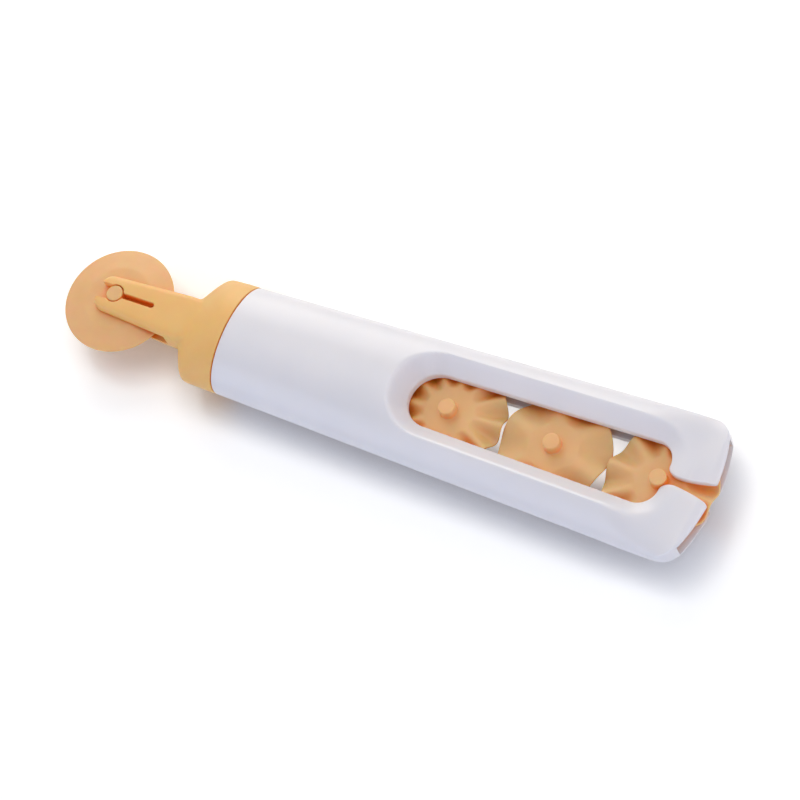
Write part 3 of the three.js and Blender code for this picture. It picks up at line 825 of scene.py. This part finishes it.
wheels = [
    # CAD node, waves, phase in degrees, steps round
    ("plain_wheel", 0, 0, 192),
    ("fine_wave_wheel", 12, 3, 240),
    ("coarse_wave_wheel", 6, 343, 192),
    ("medium_wave_wheel", 10, 176, 240),
]
for node, waves, phase, steps in wheels:
    if waves:
        blade = (FLUTE_START, FLUTE_EDGE_HALF, FLUTE_EDGE_ROUND, FLUTE_GROWTH)
    else:
        blade = (PLAIN_FLAT_RADIUS, PLAIN_EDGE_HALF, PLAIN_EDGE_ROUND, 1.0)
    outline = profile_object(node + "_outline", *blade)
    build = outline.modifiers.new("wheel", "NODES")
    build.node_group = wheel_tree
    values = {
        "Steps round": steps,
        "Waves": float(waves),
        "Wave shift": -waves * math.radians(phase),
        "Flute start": FLUTE_START * MM,
        "Flute growth": FLUTE_GROWTH,
        "Rim radius": WHEEL_RADIUS * MM,
        "Wave height": (HUB_HALF_THICKNESS - FLUTE_EDGE_HALF) * MM if waves else 0.0,
        "Material": sand_nylon,
    }
    for item in wheel_tree.interface.items_tree:
        if item.in_out == "INPUT" and item.name in values:
            build[item.identifier] = values[item.name]
    depsgraph = bpy.context.evaluated_depsgraph_get()
    wheel_mesh = bpy.data.meshes.new_from_object(outline.evaluated_get(depsgraph))
    bpy.data.objects.remove(outline)
    tidy_mesh(wheel_mesh, 1e-7)
    low, high = (Vector(corner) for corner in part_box(node))
    wheel_mesh.transform(Matrix.Translation((low + high) / 2))
    add_piece(node + "_moulding", wheel_mesh, sand_nylon, node, node, math.radians(38))

# Floor: a seamless pale sheet under the cutter. It is seen white and keeps the
# soft shadow of the lamps, which a painted shadow deepens close under the cutter,
# and a painted glow of its own brightens the gaps between the stored wheels
# without lighting them.

FLOOR_REACH = 6
UNDER_WINDOW = PLACE @ Vector((window_middle, 5.5, -GRIP_HALF_HEIGHT))
GLOW_REACH = (46 * MM, 11.5 * MM, 1.0)

floor_corners = [(x * FLOOR_REACH, y * FLOOR_REACH, 0) for x, y in [(-1, -1), (1, -1), (1, 1), (-1, 1)]]
floor_mesh = bpy.data.meshes.new("floor")
floor_mesh.from_pydata(floor_corners, [], [(0, 1, 2, 3)])
floor = bpy.data.objects.new("floor", floor_mesh)
bpy.context.scene.collection.objects.link(floor)
paper = bpy.data.materials.new("seamless_paper")
paper.use_nodes = True
tree = paper.node_tree
tree.nodes.clear()
rays = add_node(tree, "ShaderNodeLightPath").outputs
seen = add_node(
    tree,
    "ShaderNodeMath",
    {"operation": "MAXIMUM"},
    {0: rays["Is Camera Ray"], 1: rays["Is Glossy Ray"]},
).outputs[0]
tone = add_node(tree, "ShaderNodeMix", {"data_type": "RGBA"}, {"Factor": seen})
tone.inputs[FIRST_COLOUR].default_value = linear("#f2f2f4")
around = add_node(tree, "ShaderNodeAmbientOcclusion", {"samples": 8}, {"Distance": 12 * MM})
close = add_node(tree, "ShaderNodeMapRange", inputs={"Value": around.outputs["AO"], "From Min": 0.35})
# Painted shadow: where ambient occlusion is low, close under the cutter, the floor's seen tone darkens.
painted_contact_shadow = add_node(tree, "ShaderNodeMix", {"data_type": "RGBA"}, {"Factor": close.outputs["Result"]})
painted_contact_shadow.inputs[FIRST_COLOUR].default_value = (0.8, 0.8, 0.8, 1.0)
painted_contact_shadow.inputs[SECOND_COLOUR].default_value = (1.34, 1.34, 1.34, 1.0)
tree.links.new(painted_contact_shadow.outputs[MIXED_COLOUR], tone.inputs[SECOND_COLOUR])
matt = add_node(tree, "ShaderNodeBsdfDiffuse", inputs={"Color": tone.outputs[MIXED_COLOUR]})
where = add_node(tree, "ShaderNodeTexCoord").outputs["Object"]
from_window = add_node(
    tree,
    "ShaderNodeMapping",
    {"vector_type": "TEXTURE"},
    {"Vector": where, "Location": UNDER_WINDOW, "Scale": GLOW_REACH},
).outputs[0]
near = add_node(
    tree, "ShaderNodeVectorMath", {"operation": "LENGTH"}, {0: from_window}
).outputs["Value"]
# Painted glow: a soft oval of light under the window, seen from above by the camera and in glossy
# reflections only.
painted_glow_spot = add_node(
    tree,
    "ShaderNodeMapRange",
    inputs={"Value": near, "From Min": 0.5, "From Max": 1.0, "To Min": 0.62, "To Max": 0.0},
).outputs[0]
below = add_node(tree, "ShaderNodeNewGeometry").outputs["Backfacing"]
above = add_node(
    tree, "ShaderNodeMath", {"operation": "SUBTRACT", "use_clamp": True}, {0: seen, 1: below}
).outputs[0]
glow_share = add_node(tree, "ShaderNodeMath", {"operation": "MULTIPLY"}, {0: above, 1: painted_glow_spot}).outputs[0]
glow = add_node(tree, "ShaderNodeEmission", inputs={"Strength": glow_share})
sheen = add_node(tree, "ShaderNodeBsdfGlossy", inputs={"Roughness": 0.3})
coated = add_node(tree, "ShaderNodeMixShader", inputs={0: 0.12, 1: matt.outputs[0], 2: sheen.outputs[0]})
surface = add_node(tree, "ShaderNodeAddShader", inputs={0: coated.outputs[0], 1: glow.outputs[0]})
add_node(tree, "ShaderNodeOutputMaterial", inputs={"Surface": surface.outputs[0]})
floor_mesh.materials.append(paper)

# Studio: a dim room, white where it is seen, with five soft boxes low around
# the cutter and three high ones. The one behind the wheel end is the strongest,
# and the light from the front is a little bluer.

world = bpy.data.worlds.new("pale_room")
bpy.context.scene.world = world
world.use_nodes = True
tree = world.node_tree
tree.nodes.clear()
rays = add_node(tree, "ShaderNodeLightPath").outputs
room = add_node(tree, "ShaderNodeBackground", inputs={"Color": linear("#f2f4fb"), "Strength": 0.16})
white = add_node(tree, "ShaderNodeBackground", inputs={"Color": linear("#ffffff"), "Strength": 1.0})
seen = add_node(
    tree,
    "ShaderNodeMath",
    {"operation": "MAXIMUM"},
    {0: rays["Is Camera Ray"], 1: rays["Is Glossy Ray"]},
).outputs[0]
choose = add_node(tree, "ShaderNodeMixShader", inputs={0: seen, 1: room.outputs[0], 2: white.outputs[0]})
add_node(tree, "ShaderNodeOutputWorld", inputs={"Surface": choose.outputs[0]})

soft_boxes = [
    # name, turn from the tail's end, height, light share, colour
    ("tail_box", 15, 12, 0.3, "#f2f5ff"),
    ("back_tail_box", 60, 15, 0.06, "#fffdf8"),
    ("back_wheel_box", 120, 25, 0.47, "#fffcf6"),
    ("front_wheel_box", 240, 20, 0.26, "#dfe9ff"),
    ("front_tail_box", 300, 20, 0.22, "#dfe9ff"),
    ("high_tail_box", 0, 50, 0.14, "#fbfbff"),
    ("high_wheel_box", 180, 50, 0.1, "#fffdfa"),
    ("high_back_box", 120, 75, 0.2, "#fffcf6"),
]
BOX_DISTANCE = 0.8
BOX_SIZE = 0.6
for name, turn, rise, share, colour in soft_boxes:
    light = bpy.data.lights.new(name, "AREA")
    light.size = BOX_SIZE
    light.energy = share * (math.pi * BOX_DISTANCE) ** 2
    light.color = linear(colour)[:3]
    lamp = bpy.data.objects.new(name, light)
    turn, rise = math.radians(turn), math.radians(rise)
    towards = Vector((math.cos(rise) * math.cos(turn), math.cos(rise) * math.sin(turn), math.sin(rise)))
    lamp.location = towards * BOX_DISTANCE
    lamp.rotation_mode = "QUATERNION"
    lamp.rotation_quaternion = (-towards).to_track_quat("-Z", "Y")
    bpy.context.scene.collection.objects.link(lamp)

# Camera: a long lens high in front of the tail, turned so that the cutter
# lies slanting across the picture.

CAMERA_FROM_AXLE = Vector((677.2, -442.9, 1189.5)) * MM
AIM_FROM_AXLE = Vector((94.2, -1.5, 0.0)) * MM
CAMERA_ROLL = math.radians(-29.87)

lens = bpy.data.cameras.new("camera")
lens.sensor_width = 36.0
lens.lens = 225.0
lens.clip_start, lens.clip_end = 0.05, 50.0
camera = bpy.data.objects.new("camera", lens)
bpy.context.scene.collection.objects.link(camera)
camera.location = axle_centre + CAMERA_FROM_AXLE
camera.rotation_mode = "QUATERNION"
towards = (AIM_FROM_AXLE - CAMERA_FROM_AXLE).to_track_quat("-Z", "Y")
camera.rotation_quaternion = towards @ Matrix.Rotation(CAMERA_ROLL, 3, "Z").to_quaternion()
bpy.context.scene.camera = camera
bpy.context.scene.view_settings.view_transform = "Standard"
